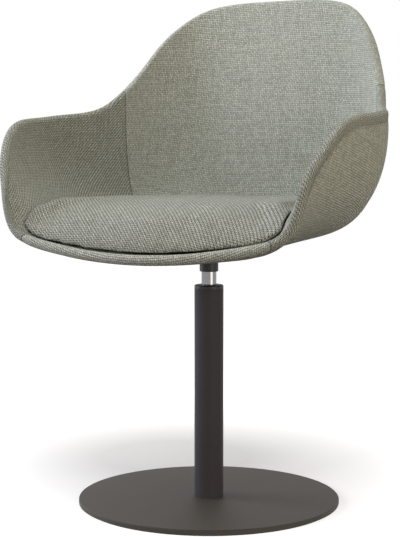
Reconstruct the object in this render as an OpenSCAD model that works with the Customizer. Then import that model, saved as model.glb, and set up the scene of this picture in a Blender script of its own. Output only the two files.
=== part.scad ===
// Pedestal swivel armchair: a padded tub on a column and a flat disc.
// Units are millimetres. The floor is z = 0, the column stands on the Z axis and the chair faces -Y.

/* [Base] */
// Diameter of the steel base disc
disc_d = 430; // [380:5:500]
// Thickness of the base disc
disc_t = 8; // [7:0.5:12]
// Rounding of the disc's outer edges
disc_edge = 1.5; // [0.5:0.25:3]
// Diameter of the felt sheet under the disc
felt_d = 420; // [360:5:426]
// Thickness of the felt sheet
felt_t = 2; // [1:0.5:4]
// Number of screws that hold the column to the disc
foot_screws = 3; // [2:1:3]
// Diameter of the circle those screws stand on
foot_screw_circle = 26; // [22:1:28]
// Thread diameter of those screws
foot_screw_d = 8; // [6:0.5:8]

/* [Column] */
// Outer diameter of the column tube
tube_d = 48; // [46:1:60]
// Wall of the column tube
tube_wall = 2; // [1.5:0.25:3]
// Height of the column's top above the floor
column_h = 361.5; // [320:0.5:480]
// Height of the collar on the column's cap
collar_h = 6; // [4:0.5:10]
// Rounding of the collar's upper edge
collar_edge = 2.5; // [1:0.25:3.5]
// Depth of the cap's sleeve inside the tube
cap_sleeve_h = 60; // [40:1:80]
// Height of the lower guide bush
guide_h = 35; // [20:1:50]
// Height of the threaded plug in the tube's foot
plug_h = 20; // [15:1:30]
// Thickness of the disc that carries the bearing
bearing_seat_h = 8; // [5:0.5:12]

/* [Swivel] */
// Diameter of the chrome spindle
spindle_d = 25; // [22:0.5:28]
// Length of the spindle below the column's top
spindle_l = 180; // [150:1:220]
// Length of chrome that shows between cap and hub
rod_show = 21.5; // [10:0.5:60]
// Diameter of the spindle's pilot in the bearing
pilot_d = 20; // [16:0.5:21]
// Outer diameter of the thrust bearing
bearing_d = 35; // [34:0.5:38]
// Thickness of one bearing washer
race_t = 3; // [2.5:0.25:4]
// Free height between the two bearing washers
race_gap = 4; // [3:0.25:4.5]
// Diameter of a bearing ball
ball_d = 6; // [5:0.25:6.5]
// Number of bearing balls
balls = 10; // [6:1:11]
// Thickness of the ball cage
cage_t = 2; // [1:0.25:2.5]
// Thickness of the retaining ring on the spindle
ring_t = 1.6; // [1:0.1:2]
// Depth of the ring's groove
ring_depth = 1; // [0.5:0.1:1.5]
// Lift that the retaining ring allows
lift_gap = 1; // [0.5:0.1:2]

/* [Hub and plate] */
// Diameter of the hub under the seat
hub_d = 31; // [30:0.5:44]
// Height of the hub
hub_h = 30; // [26:0.5:50]
// Rounding of the hub's lower edge
hub_edge = 1.5; // [0.5:0.25:2]
// Depth of the spindle's taper in the hub
taper_h = 26; // [15:0.5:26]
// Narrowing of the taper over its length, on the diameter
taper_drop = 1.4; // [0.6:0.1:2]
// Diameter of the round seat plate
plate_d = 184; // [150:1:186]
// Thickness of the seat plate
plate_t = 6; // [3:0.5:8]
// Side of the square the seat bolts stand on
bolt_square_w = 100; // [80:1:110]
// Thread diameter of the seat bolts
bolt_d = 6; // [5:0.5:8]
// Height of a seat bolt's head
bolt_head_h = 3.2; // [2:0.1:5]

/* [Tub] */
// Greatest half width of the tub, at its middle surface
tub_half_w = 300; // [270:1:330]
// Reach of the tub behind the column
tub_back = 272; // [250:1:300]
// Reach of the tub's front lip before the column
tub_front = 242; // [220:1:255]
// Height of the arms' rim above the seat pan
arm_rise = 207; // [170:1:240]
// Height of the back's rim above the seat pan
back_rise = 416; // [360:1:480]
// Drop of the front lip below the seat pan
lip_drop = 7.5; // [4:0.5:12]
// Radius of the flat landing for the seat plate
pan_r = 95; // [95:1:105]
// Whole thickness of the padded tub
tub_t = 14; // [14:0.5:22]
// Thickness of the moulded shell inside
shell_t = 5; // [4:0.25:6]
// Thickness of the woven cover
cover_t = 1.2; // [0.8:0.1:1.6]
// Gap between neighbouring cover panels at a seam
seam_gap = 0.5; // [0.4:0.1:1]

/* [Seat cushion] */
// Height of the cushion's crown above the seat pan
crown_rise = 79; // [68:1:95]
// Gap between the cushion's edge and the tub
cushion_gap = 2.2; // [2:0.1:3]
// Length of a fastening strip under the cushion
strip_l = 120; // [60:5:140]
// Width of a fastening strip
strip_w = 25; // [15:1:35]
// Thickness of one half of a fastening strip
strip_t = 1.4; // [1:0.1:1.4]
// Distance between the middles of the two strips
strip_pair_w = 90; // [50:1:100]

/* [Hidden] */

// Fits, as radial clearances
press_gap = 0.03;
running_gap = 0.05;
hole_gap = 0.3;
ball_gap = 0.3;
layer_gap = 0.3;
// One overrun serves every cut
over = 1;

powder_colour = "#4c4a44";
column_colour = "#2b2a2c";
plastic_colour = "#1b1b1d";
chrome_colour = "#c9ccce";
steel_colour = "#9a9da0";
brass_colour = "#b79a55";
ply_colour = "#c9a875";
foam_colour = "#d9cf9f";
fabric_colour = "#a3a79c";
fabric_shade_colour = "#8c8f83";
felt_colour = "#2f2f2f";

// Heights of the pedestal, from the floor up
disc_z = felt_t;
disc_top = disc_z + disc_t;
tube_top = column_h - collar_h;
tube_id = tube_d - 2 * tube_wall;
insert_d = tube_id - 2 * press_gap;
bore_d = spindle_d + 2 * running_gap;
shoulder_z = column_h - spindle_l;
upper_race_z = shoulder_z - race_t;
lower_race_z = upper_race_z - race_gap - race_t;
bearing_seat_z = lower_race_z - bearing_seat_h;
ball_z = upper_race_z - race_gap / 2;
ball_circle = (bearing_d + pilot_d) / 2;
ring_clear = race_t;
ring_z = shoulder_z + ring_clear;
guide_z = ring_z + ring_t + lift_gap;
hub_z = column_h + rod_show;
plate_z = hub_z + hub_h;
shell_z = plate_z + plate_t;

// Countersunk foot screws
foot_head_d = 2 * foot_screw_d;
foot_head_h = foot_screw_d / 2;
foot_screw_reach_share = 0.85;

// Seat bolts and their nuts in the shell
bolt_head_d = 1.9 * bolt_d;
nut_d = 1.5 * bolt_d;
socket_share = 0.6;

// Layers of the tub as offsets from its middle surface, positive outwards
cover_out = tub_t / 2;
cover_in = cover_out - cover_t;
body_out = cover_in - layer_gap;
core_in = body_out - shell_t;
foam_out = core_in - layer_gap;
pan_z = shell_z + body_out;
lining_z = pan_z + cover_out;
// Gap that the two halves of the fastening strips fill below the cushion
cushion_lift = 2 * strip_t + 2 * layer_gap;

// Stations along half of the rim, from the middle of the back to the middle of the lip:
// [share of the half width, share of the way from lip to back, share of the arm's rise,
//  share of the back's further rise]
rim_shares = [
    [0, 1, 1, 1],
    [0.42, 0.98, 1, 0.955],
    [0.64, 0.89, 1, 0.71],
    [0.775, 0.785, 1, 0.34],
    [0.875, 0.645, 1, 0.08],
    [1, 0.435, 1, 0],
    [0.96, 0.205, 0.92, 0],
    [0.875, 0.08, 0.6, 0],
    [0.775, 0.045, 0.19, 0],
    [0.455, 0.02, 0.05, 0],
    [0, 0, 0, 0]];
// The wall below each station: [share of the half turn at which it lands on the pan, lean at the
//  rim in degrees, pull of the rim as a share of the wall, pull of the pan as a share of its run,
//  rise off the pan in degrees]
wall_shares = [
    [0, 14, 0.74, 0.56, 19],
    [0.06, 13, 0.79, 0.57, 19],
    [0.18, 4, 0.87, 0.59, 20],
    [0.32, 0, 0.88, 0.6, 21],
    [0.45, -1, 0.74, 0.55, 22],
    [0.52, -2, 0.6, 0.42, 22],
    [0.56, 2, 0.54, 0.39, 19],
    [0.68, 19, 0.44, 0.37, 15],
    [0.845, 59, 0.36, 0.36, 11],
    [0.94, 75, 0.31, 0.35, 8],
    [1, 83, 0.31, 0.34, 8]];
// The cushion at each station: [share down the wall where its edge lies, power of its section,
//  higher where the top stays flat further out]
cushion_shares = [
    [0.635, 6],
    [0.605, 6],
    [0.515, 6],
    [0.435, 6],
    [0.44, 6],
    [0.465, 6],
    [0.43, 6],
    [0.24, 5],
    [0.06, 4],
    [0.02, 3.6],
    [0.02, 3.5]];

// Columns of the grid between two stations, and around the whole tub
per_span = 3;
half_cols = per_span * (len(rim_shares) - 1);
cols = 2 * half_cols;
// Rows of the grid, as shares of the way down the wall
row_shares = [0, 0.12, 0.25, 0.38, 0.5, 0.62, 0.75, 0.88, 1];
last_row = len(row_shares) - 1;
lining_row = last_row - 2;
rim_steps = 6;

// Seams of the cover, as columns of the half grid
back_seam = per_span * 3 + 1;
lip_seam = per_span * 8 + 1;

function catmull(a, b, c, d, t) =
    ((2 * b) + (c - a) * t + (2 * a - 5 * b + 4 * c - d) * t * t + (3 * b - a - 3 * c + d) * t * t * t) / 2;
function clampi(i, n) = i < 0 ? -i : (i > n ? 2 * n - i : i);
// Value of a station table at half column i, with one even or odd sign per entry across the middle
function flip(row, odd) = [for (k = [0:len(row) - 1]) row[k] * odd[k]];
function station(tab, s, odd) =
    let (n = len(tab) - 1)
    s < 0 || s > n ? flip(tab[clampi(s, n)], odd) : tab[s];
function along(tab, i, odd) =
    let (s = floor(i / per_span), t = (i - s * per_span) / per_span)
    t == 0 ? tab[s] :
    catmull(station(tab, s - 1, odd), tab[s], tab[s + 1], station(tab, s + 2, odd), t);

rim_odd = [-1, 1, 1, 1];
even_all = [1, 1, 1, 1, 1];
// The landing angle runs on past both ends of the half, so it mirrors about them
landing_first = -wall_shares[1][0];
landing_last = 2 - wall_shares[len(wall_shares) - 2][0];
function wall_at(i) =
    let (s = floor(i / per_span), n = len(wall_shares) - 1, t = (i - s * per_span) / per_span,
        a = s == 0 ? landing_first : wall_shares[s - 1][0],
        d = s + 2 > n ? landing_last : wall_shares[s + 2][0],
        rest = along(wall_shares, i, even_all))
    t == 0 ? wall_shares[s] :
    [catmull(a, wall_shares[s][0], wall_shares[s + 1][0], d, t), rest[1], rest[2], rest[3], rest[4]];

// The four control points of the wall's curve at half column i
function wall_curve(i) =
    let (r = along(rim_shares, i, rim_odd), w = wall_at(i),
        rim = [r[0] * tub_half_w, -tub_front + r[1] * (tub_back + tub_front),
            pan_z - lip_drop + r[2] * (arm_rise + lip_drop) + r[3] * (back_rise - arm_rise)],
        foot = [pan_r * sin(180 * w[0]), pan_r * cos(180 * w[0]), pan_z],
        run = norm([rim[0] - foot[0], rim[1] - foot[1]]),
        out = [(rim[0] - foot[0]) / run, (rim[1] - foot[1]) / run, 0],
        span = norm(rim - foot))
    [rim,
     rim - w[2] * span * [out[0] * sin(w[1]), out[1] * sin(w[1]), cos(w[1])],
     foot + w[3] * run * [out[0] * cos(w[4]), out[1] * cos(w[4]), sin(w[4])],
     foot];
function bezier(c, t) =
    pow(1 - t, 3) * c[0] + 3 * pow(1 - t, 2) * t * c[1] + 3 * (1 - t) * t * t * c[2] + pow(t, 3) * c[3];
function bezier_slope(c, t) =
    pow(1 - t, 2) * (c[1] - c[0]) + 2 * (1 - t) * t * (c[2] - c[1]) + t * t * (c[3] - c[2]);
function mirror_x(v) = [-v[0], v[1], v[2]];
function unit(v) = v / norm(v);

half_curves = [for (i = [0:half_cols]) wall_curve(i)];
curves = [for (i = [0:cols - 1]) i <= half_cols ? half_curves[i] :
    [for (p = half_curves[cols - i]) mirror_x(p)]];
function wrap(i) = (i + cols) % cols;
middle = [for (c = curves) [for (t = row_shares) bezier(c, t)]];
slopes = [for (c = curves) [for (t = row_shares) unit(bezier_slope(c, t))]];
// The outward normal of the middle surface at each grid point
outward = [for (i = [0:cols - 1]) [for (k = [0:last_row])
    k == last_row ? [0, 0, -1] :
    unit(cross(middle[wrap(i + 1)][k] - middle[wrap(i - 1)][k], slopes[i][k]))]];

// A point off the middle surface by d, at column i and row k, where k may lie between two rows
function skin_point(i, k, d) =
    let (w = wrap(i), a = floor(k), b = min(a + 1, last_row), f = k - a)
    (1 - f) * (middle[w][a] + d * outward[w][a]) + f * (middle[w][b] + d * outward[w][b]);
// A point on the rounded rim, with angle 0 on the outside and 180 on the inside
function rim_point(i, angle, r) =
    let (w = wrap(i), n = outward[w][0], up = unit(-slopes[w][0] + (slopes[w][0] * n) * n))
    middle[w][0] + r * (cos(angle) * n + sin(angle) * up);
// The row reached by going a distance down from the rim
function row_after(i, distance) = distance / norm(middle[wrap(i)][1] - middle[wrap(i)][0]);
// The row that lies a share of the way down the wall
function row_of_share(s, k = 0) =
    k == last_row ? last_row :
    s <= row_shares[k + 1] ? k + (s - row_shares[k]) / (row_shares[k + 1] - row_shares[k]) :
    row_of_share(s, k + 1);

// Facing layers split their quads along the same diagonal, mirrored about the middle, so that they
// keep their distance. Rows that run up the wall come first, and turn says how many of them there are.
function turned(j, column, turn) = (j < turn) != (wrap(column) >= half_cols);
// The two triangles of a quad with corners a, b and, one row on, c, d
function quad(a, b, c, d, other) = other ? [[a, c, b], [b, c, d]] : [[a, d, b], [a, c, d]];

// Closed skin through a list of rings, each with one point per column, capped flat at both ends
module ring_skin(rings, turn = 0) {
    n = len(rings[0]);
    m = len(rings);
    points = [for (r = rings) each r];
    sides = [for (j = [0:m - 2], i = [0:n - 1])
        let (a = j * n + i, b = j * n + (i + 1) % n)
        each quad(a, b, a + n, b + n, turned(j, i, turn))];
    first = [for (i = [0:n - 1]) i];
    last = [for (i = [0:n - 1]) m * n - 1 - i];
    polyhedron(points, concat([first], sides, [last]), convexity = 6);
}

// Thin closed panel between an outer and an inner grid of points of the same size, from its first column
module panel_skin(outer, inner, first, turn = 0) {
    m = len(outer);
    n = len(outer[0]);
    size = m * n;
    points = concat([for (r = outer) each r], [for (r = inner) each r]);
    fronts = [for (j = [0:m - 2], i = [0:n - 2])
        let (a = j * n + i)
        each quad(a, a + 1, a + n, a + n + 1, turned(j, first + i, turn))];
    backs = [for (t = fronts) [size + t[0], size + t[2], size + t[1]]];
    ends = [for (i = [0:n - 2], half = [0, 1])
        let (a = i, b = a + 1, c = (m - 1) * n + i, d = c + 1)
        each half == 0 ? [[a, b, size + b], [c, size + d, d]] :
            [[a, size + b, size + a], [c, size + c, size + d]]];
    edges = [for (j = [0:m - 2], half = [0, 1])
        let (a = j * n, c = a + n, b = a + n - 1, d = b + n)
        each half == 0 ? [[a, size + c, c], [b, d, size + d]] :
            [[a, size + a, size + c], [b, size + d, size + b]]];
    polyhedron(points, concat(fronts, backs, ends, edges), convexity = 6);
}

// A column of panel points pulled in from a seam by half the seam's gap
function pulled(here, inward) = here + (seam_gap / 2) * unit(inward - here);
function trim_columns(grid) = [for (row = grid) [for (i = [0:len(row) - 1])
    i == 0 ? pulled(row[0], row[1]) :
    i == len(row) - 1 ? pulled(row[i], row[i - 1]) : row[i]]];

// Rows of an inner panel at offset d from its rows on the wall over the rim to the outside
function over_rim(from, to, d) = concat(
    [for (k = [lining_row:-1:0]) [for (i = [from:to]) skin_point(i, k, -d)]],
    [for (s = [rim_steps - 1:-1:0]) [for (i = [from:to]) rim_point(i, 180 * s / rim_steps, d)]]);
// Rows of an outer panel at offset d, from just under the rim to the flat landing
function down_wall(from, to, d) = concat(
    [[for (i = [from:to]) skin_point(i, row_after(i, seam_gap), d)]],
    [for (k = [1:last_row]) [for (i = [from:to]) skin_point(i, k, d)]]);

module inner_panel(from, to) {
    color(fabric_colour)
        panel_skin(trim_columns(over_rim(from, to, cover_out)), trim_columns(over_rim(from, to, cover_in)),
            from, lining_row);
}

module outer_panel(from, to) {
    color(fabric_shade_colour)
        panel_skin(trim_columns(down_wall(from, to, cover_out)), trim_columns(down_wall(from, to, cover_in)),
            from);
}

module tube_shape(outer_d, inner_d, z, h) {
    translate([0, 0, z])
        difference() {
            cylinder(d = outer_d, h = h, $fn = 96);
            translate([0, 0, -over])
                cylinder(d = inner_d, h = h + 2 * over, $fn = 96);
        }
}

// Copies its children on the circle of the foot screws
module on_foot_circle() {
    for (i = [0:foot_screws - 1])
        rotate([0, 0, 90 + i * 360 / foot_screws])
            translate([foot_screw_circle / 2, 0, 0])
                children();
}

// Copies its children on the square of the seat bolts
module on_bolt_square() {
    for (x = [-1, 1], y = [-1, 1])
        translate([x * bolt_square_w / 2, y * bolt_square_w / 2, 0])
            children();
}

module floor_felt() {
    color(felt_colour)
        cylinder(d = felt_d, h = felt_t, $fn = 128);
}

module base_disc() {
    color(powder_colour)
        difference() {
            translate([0, 0, disc_z])
                rotate_extrude($fn = 160)
                    disc_profile();
            on_foot_circle() {
                translate([0, 0, disc_z - over])
                    cylinder(d = foot_screw_d + 2 * hole_gap, h = disc_t + 2 * over, $fn = 48);
                translate([0, 0, disc_z])
                    cylinder(d1 = foot_head_d + 2 * hole_gap, d2 = foot_screw_d + 2 * hole_gap,
                        h = foot_head_h + hole_gap, $fn = 48);
            }
        }
}

// Half section of the disc, with both outer corners rounded
module disc_profile() {
    square([disc_d / 2 - disc_edge, disc_t]);
    translate([0, disc_edge])
        square([disc_d / 2, disc_t - 2 * disc_edge]);
    for (y = [disc_edge, disc_t - disc_edge])
        translate([disc_d / 2 - disc_edge, y])
            circle(r = disc_edge, $fn = 48);
}

module column_foot_plug() {
    color(steel_colour)
        translate([0, 0, disc_top])
            difference() {
                cylinder(d = insert_d, h = plug_h, $fn = 96);
                on_foot_circle()
                    translate([0, 0, -over])
                        cylinder(d = foot_screw_d + 2 * press_gap, h = plug_h + 2 * over, $fn = 48);
            }
}

module column_foot_screws() {
    color(steel_colour)
        on_foot_circle()
            translate([0, 0, disc_z + hole_gap])
                difference() {
                    union() {
                        cylinder(d1 = foot_head_d, d2 = foot_screw_d, h = foot_head_h, $fn = 48);
                        cylinder(d = foot_screw_d, h = disc_t + foot_screw_reach_share * plug_h, $fn = 48);
                    }
                    translate([0, 0, -over])
                        cylinder(d = socket_share * foot_screw_d, h = foot_head_h / 2 + over, $fn = 6);
                }
}

module column_tube() {
    color(column_colour)
        tube_shape(tube_d, tube_id, disc_top, tube_top - disc_top);
}

module bearing_seat() {
    color(steel_colour)
        tube_shape(insert_d, pilot_d - race_t, bearing_seat_z, bearing_seat_h);
}

// Ball track of both washers
module ball_track() {
    translate([0, 0, ball_z])
        rotate_extrude($fn = 96)
            translate([ball_circle / 2, 0])
                circle(d = ball_d + 2 * ball_gap, $fn = 48);
}

module lower_bearing_washer() {
    color(chrome_colour)
        difference() {
            tube_shape(bearing_d, pilot_d + 2 * hole_gap, lower_race_z, race_t);
            ball_track();
        }
}

module upper_bearing_washer() {
    color(chrome_colour)
        difference() {
            tube_shape(bearing_d - 2 * hole_gap, pilot_d + 2 * press_gap, upper_race_z, race_t);
            ball_track();
        }
}

module on_ball_circle() {
    for (i = [0:balls - 1])
        rotate([0, 0, i * 360 / balls])
            translate([ball_circle / 2, 0, 0])
                children();
}

module bearing_cage() {
    color(brass_colour)
        difference() {
            tube_shape(bearing_d - cage_t, pilot_d + cage_t, ball_z - cage_t / 2, cage_t);
            translate([0, 0, ball_z - cage_t / 2 - over])
                on_ball_circle()
                    cylinder(d = ball_d + 2 * ball_gap, h = cage_t + 2 * over, $fn = 32);
        }
}

module bearing_balls() {
    color(chrome_colour)
        translate([0, 0, ball_z])
            on_ball_circle()
                sphere(d = ball_d, $fn = 32);
}

module lower_guide_bush() {
    color(plastic_colour)
        tube_shape(insert_d, bore_d, guide_z, guide_h);
}

module column_cap() {
    color(plastic_colour)
        difference() {
            union() {
                translate([0, 0, tube_top - cap_sleeve_h])
                    cylinder(d = insert_d, h = cap_sleeve_h + collar_h / 2, $fn = 96);
                translate([0, 0, tube_top])
                    rotate_extrude($fn = 96)
                        collar_profile();
            }
            translate([0, 0, tube_top - cap_sleeve_h - over])
                cylinder(d = bore_d, h = cap_sleeve_h + collar_h + 2 * over, $fn = 96);
        }
}

// Half section of the cap's collar, with its upper corner rounded
module collar_profile() {
    square([tube_d / 2, collar_h - collar_edge]);
    square([tube_d / 2 - collar_edge, collar_h]);
    translate([tube_d / 2 - collar_edge, collar_h - collar_edge])
        circle(r = collar_edge, $fn = 48);
}

module spindle() {
    shaft_top = hub_z + hub_edge;
    color(chrome_colour)
        difference() {
            union() {
                translate([0, 0, upper_race_z])
                    cylinder(d = pilot_d, h = race_t + over, $fn = 96);
                translate([0, 0, shoulder_z])
                    cylinder(d = spindle_d, h = shaft_top - shoulder_z, $fn = 96);
                translate([0, 0, shaft_top])
                    cylinder(d1 = spindle_d - taper_drop / 2, d2 = spindle_d - 1.5 * taper_drop,
                        h = taper_h - hub_edge, $fn = 96);
            }
            tube_shape(spindle_d + 2 * over, spindle_d - 2 * ring_depth, ring_z, ring_t);
        }
}

// Open ring that snaps into the spindle's groove
module retaining_ring() {
    ring_w = 3 * ring_depth;
    color(steel_colour)
        difference() {
            tube_shape(spindle_d - 2 * ring_depth + 2 * ring_w, spindle_d - 2 * ring_depth + 2 * press_gap,
                ring_z + press_gap, ring_t - 2 * press_gap);
            translate([-ring_w, 0, ring_z - over])
                cube([2 * ring_w, spindle_d, ring_t + 2 * over]);
        }
}

module seat_hub() {
    shaft_depth = hub_edge;
    color(plastic_colour)
        difference() {
            translate([0, 0, hub_z])
                rotate_extrude($fn = 96)
                    hub_profile();
            translate([0, 0, hub_z - over])
                cylinder(d = spindle_d + 2 * press_gap, h = shaft_depth + over, $fn = 96);
            translate([0, 0, hub_z + shaft_depth])
                cylinder(d1 = spindle_d - taper_drop / 2 + 2 * press_gap,
                    d2 = spindle_d - 1.5 * taper_drop + 2 * press_gap, h = taper_h - shaft_depth + press_gap, $fn = 96);
        }
}

// Half section of the hub, with its lower corner rounded
module hub_profile() {
    translate([0, hub_edge])
        square([hub_d / 2, hub_h - hub_edge]);
    square([hub_d / 2 - hub_edge, hub_h]);
    translate([hub_d / 2 - hub_edge, hub_edge])
        circle(r = hub_edge, $fn = 48);
}

module seat_plate() {
    color(powder_colour)
        translate([0, 0, plate_z])
            difference() {
                cylinder(d = plate_d, h = plate_t, $fn = 128);
                on_bolt_square()
                    translate([0, 0, -over])
                        cylinder(d = bolt_d + 2 * hole_gap, h = plate_t + 2 * over, $fn = 48);
            }
}

module seat_bolts() {
    color(steel_colour)
        on_bolt_square()
            difference() {
                union() {
                    translate([0, 0, plate_z - bolt_head_h])
                        rotate_extrude($fn = 48)
                            bolt_head_profile();
                    translate([0, 0, plate_z - over])
                        cylinder(d = bolt_d, h = plate_t + shell_t - layer_gap + over, $fn = 48);
                }
                translate([0, 0, plate_z - bolt_head_h - over])
                    cylinder(d = socket_share * bolt_d, h = bolt_head_h / 2 + over, $fn = 6);
            }
}

// Half section of a button head, domed downwards
module bolt_head_profile() {
    intersection() {
        square([bolt_head_d / 2, bolt_head_h]);
        translate([0, bolt_head_d])
            circle(r = bolt_head_d, $fn = 96);
    }
}

module insert_nuts() {
    color(brass_colour)
        on_bolt_square()
            tube_shape(nut_d, bolt_d + 2 * press_gap, shell_z, shell_t - layer_gap);
}

// Moulded shell that everything in the seat is fixed to
module shell_core() {
    rings = concat(
        [for (k = [last_row:-1:1]) [for (i = [0:cols - 1]) skin_point(i, k, core_in)]],
        [for (d = [core_in, body_out]) [for (i = [0:cols - 1]) skin_point(i, row_after(i, layer_gap), d)]],
        [for (k = [1:last_row]) [for (i = [0:cols - 1]) skin_point(i, k, body_out)]]);
    color(ply_colour)
        difference() {
            ring_skin(rings, last_row + 1);
            translate([0, 0, shell_z - over])
                on_bolt_square()
                    cylinder(d = nut_d + 2 * press_gap, h = shell_t + 2 * over, $fn = 48);
        }
}

// Foam on the shell's inside, wrapped over its edge
module shell_foam() {
    rings = concat(
        [for (k = [last_row:-1:0]) [for (i = [0:cols - 1]) skin_point(i, k, -body_out)]],
        [for (s = [rim_steps - 1:-1:0]) [for (i = [0:cols - 1]) rim_point(i, 180 * s / rim_steps, body_out)]],
        [[for (i = [0:cols - 1]) skin_point(i, 0, foam_out)]],
        [[for (i = [0:cols - 1]) skin_point(i, row_after(i, layer_gap), foam_out)]],
        [for (k = [1:last_row]) [for (i = [0:cols - 1]) skin_point(i, k, foam_out)]]);
    color(foam_colour)
        ring_skin(rings, last_row);
}

module inner_back_panel() {
    inner_panel(-back_seam, back_seam);
}

module inner_arm_panel_left() {
    inner_panel(back_seam, lip_seam);
}

module inner_arm_panel_right() {
    inner_panel(cols - lip_seam, cols - back_seam);
}

module front_lip_band() {
    inner_panel(lip_seam, cols - lip_seam);
}

module outer_back_panel() {
    outer_panel(-back_seam, back_seam);
}

module outer_side_panel_left() {
    outer_panel(back_seam, lip_seam);
}

module outer_side_panel_right() {
    outer_panel(cols - lip_seam, cols - back_seam);
}

module underside_panel() {
    outer_panel(lip_seam, cols - lip_seam);
}

// Plain lining of the pan under the cushion
module seat_lining() {
    start = [for (i = [0:cols - 1]) lining_row + seam_gap / norm(middle[i][lining_row + 1] - middle[i][lining_row])];
    rings = concat(
        [for (k = [last_row:-1:lining_row + 1]) [for (i = [0:cols - 1]) skin_point(i, k, -cover_out)]],
        [for (d = [-cover_out, -cover_in]) [for (i = [0:cols - 1]) skin_point(i, start[i], d)]],
        [for (k = [lining_row + 1:last_row]) [for (i = [0:cols - 1]) skin_point(i, k, -cover_in)]]);
    color(fabric_shade_colour)
        ring_skin(rings, last_row - lining_row);
}

// Two strips side by side at a given height
module strips(z) {
    for (x = [-1, 1])
        translate([x * strip_pair_w / 2 - strip_w / 2, -strip_l / 2, z])
            cube([strip_w, strip_l, strip_t]);
}

module loop_strips() {
    color(plastic_colour)
        strips(lining_z + layer_gap);
}

module hook_strips() {
    color(plastic_colour)
        strips(lining_z + layer_gap + strip_t);
}

// Rings on the crown as shares of the reach, rings on the rolled edge as shares of its height
crown_ring_shares = [0.08, 0.3, 0.52, 0.7];
crown_end_share = 0.88;
roll_ring_shares = [0.93, 0.83, 0.68, 0.5, 0.3, 0.12];
under_ring_shares = [0, 0.2, 0.45, 0.7, 1];
cushion_centre_share = 0.47;
cushion_even = [1, 1];
cushion_at = [for (i = [0:cols - 1]) along(cushion_shares, i <= half_cols ? i : cols - i, cushion_even)];
cushion_centre = [0, -tub_front + cushion_centre_share * (tub_back + tub_front)];
crown_z = pan_z + crown_rise;
// A point of the cushion's underside, a share of the way from its edge to the flat landing
function under_cushion(i, share) =
    let (s = cushion_at[i][0] + (1 - cushion_at[i][0]) * share,
        gap = cushion_gap + (cushion_lift - cushion_gap) * share)
    skin_point(i, row_of_share(s), -(cover_out + gap));
cushion_edge = [for (i = [0:cols - 1]) under_cushion(i, 0)];
// A point of the upper surface, at a share of the reach and a share of the height above the edge
function top_point(i, reach, height) =
    let (e = cushion_edge[i])
    [cushion_centre[0] + (e[0] - cushion_centre[0]) * reach,
     cushion_centre[1] + (e[1] - cushion_centre[1]) * reach,
     e[2] + (crown_z - e[2]) * height];
function height_at(i, reach) = sqrt(1 - pow(reach, cushion_at[i][1]));
function reach_at(i, height) = pow(1 - height * height, 1 / cushion_at[i][1]);

module seat_cushion() {
    // The crown's rings end where the rolled edge begins
    crown = [for (r = crown_ring_shares) [for (i = [0:cols - 1])
        let (reach = r * reach_at(i, roll_ring_shares[0]) / crown_end_share)
        top_point(i, reach, height_at(i, reach))]];
    roll = [for (h = roll_ring_shares) [for (i = [0:cols - 1]) top_point(i, reach_at(i, h), h)]];
    under = [for (share = under_ring_shares) [for (i = [0:cols - 1]) under_cushion(i, share)]];
    color(fabric_colour)
        ring_skin(concat(crown, roll, under));
}

floor_felt();
base_disc();
column_foot_plug();
column_foot_screws();
column_tube();
bearing_seat();
lower_bearing_washer();
lower_guide_bush();
column_cap();
bearing_cage();
bearing_balls();
upper_bearing_washer();
spindle();
retaining_ring();
seat_hub();
seat_plate();
seat_bolts();
insert_nuts();
shell_core();
shell_foam();
inner_back_panel();
inner_arm_panel_left();
inner_arm_panel_right();
front_lip_band();
outer_back_panel();
outer_side_panel_left();
outer_side_panel_right();
underside_panel();
seat_lining();
loop_strips();
hook_strips();
seat_cushion();
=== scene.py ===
# %% [markdown]
# # A pedestal swivel armchair
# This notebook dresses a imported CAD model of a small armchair. The chair is a padded tub with a
# loose seat cushion, on a slim column and a flat steel disc. The metal and plastic pieces come
# from the CAD as they are and only get better finishes. Everything that is upholstered is made
# again here, because cloth needs rounder and finer forms than a solid for collisions does.

import bpy
import numpy as np
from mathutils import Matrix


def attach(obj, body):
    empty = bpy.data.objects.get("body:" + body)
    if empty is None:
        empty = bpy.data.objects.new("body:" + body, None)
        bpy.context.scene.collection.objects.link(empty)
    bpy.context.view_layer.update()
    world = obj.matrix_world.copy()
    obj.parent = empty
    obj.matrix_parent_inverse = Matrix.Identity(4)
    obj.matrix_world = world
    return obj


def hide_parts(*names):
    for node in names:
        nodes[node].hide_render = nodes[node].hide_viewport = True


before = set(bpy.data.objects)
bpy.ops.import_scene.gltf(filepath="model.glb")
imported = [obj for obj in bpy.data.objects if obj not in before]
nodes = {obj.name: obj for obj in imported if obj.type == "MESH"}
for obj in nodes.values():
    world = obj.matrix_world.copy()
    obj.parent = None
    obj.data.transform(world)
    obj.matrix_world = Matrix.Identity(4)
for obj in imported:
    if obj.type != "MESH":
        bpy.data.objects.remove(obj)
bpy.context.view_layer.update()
MM = 0.001

# %% [markdown]
# ## The camera
# The photograph was taken with a long lens from a little above the arms, turned about 27 degrees
# from the chair's front. A long lens from 2.2 m keeps the upright column nearly parallel to the
# picture's edge. The lens follows from the focal length in pixels of a 400 by 537 image.

# %% Camera at the photograph's angle
camera_turn = np.radians(26.7)
camera_distance, camera_height = 2.2, 0.56415
image_height_px, focal_px = 537, 1346.53
look_left, look_down = np.radians(27.083), np.radians(4.5865)
sensor = 36

camera_data = bpy.data.cameras.new("camera")
camera_data.sensor_width = sensor
camera_data.lens = focal_px * sensor / image_height_px
camera = bpy.data.objects.new("camera", camera_data)
camera.location = (
    camera_distance * np.sin(camera_turn), -camera_distance * np.cos(camera_turn), camera_height)
camera.rotation_euler = (np.pi / 2 - look_down, 0, look_left)
scene = bpy.context.scene
scene.collection.objects.link(camera)
scene.camera = camera
scene.view_settings.view_transform = "Standard"
print("lens in mm:", round(camera_data.lens, 2))

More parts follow.
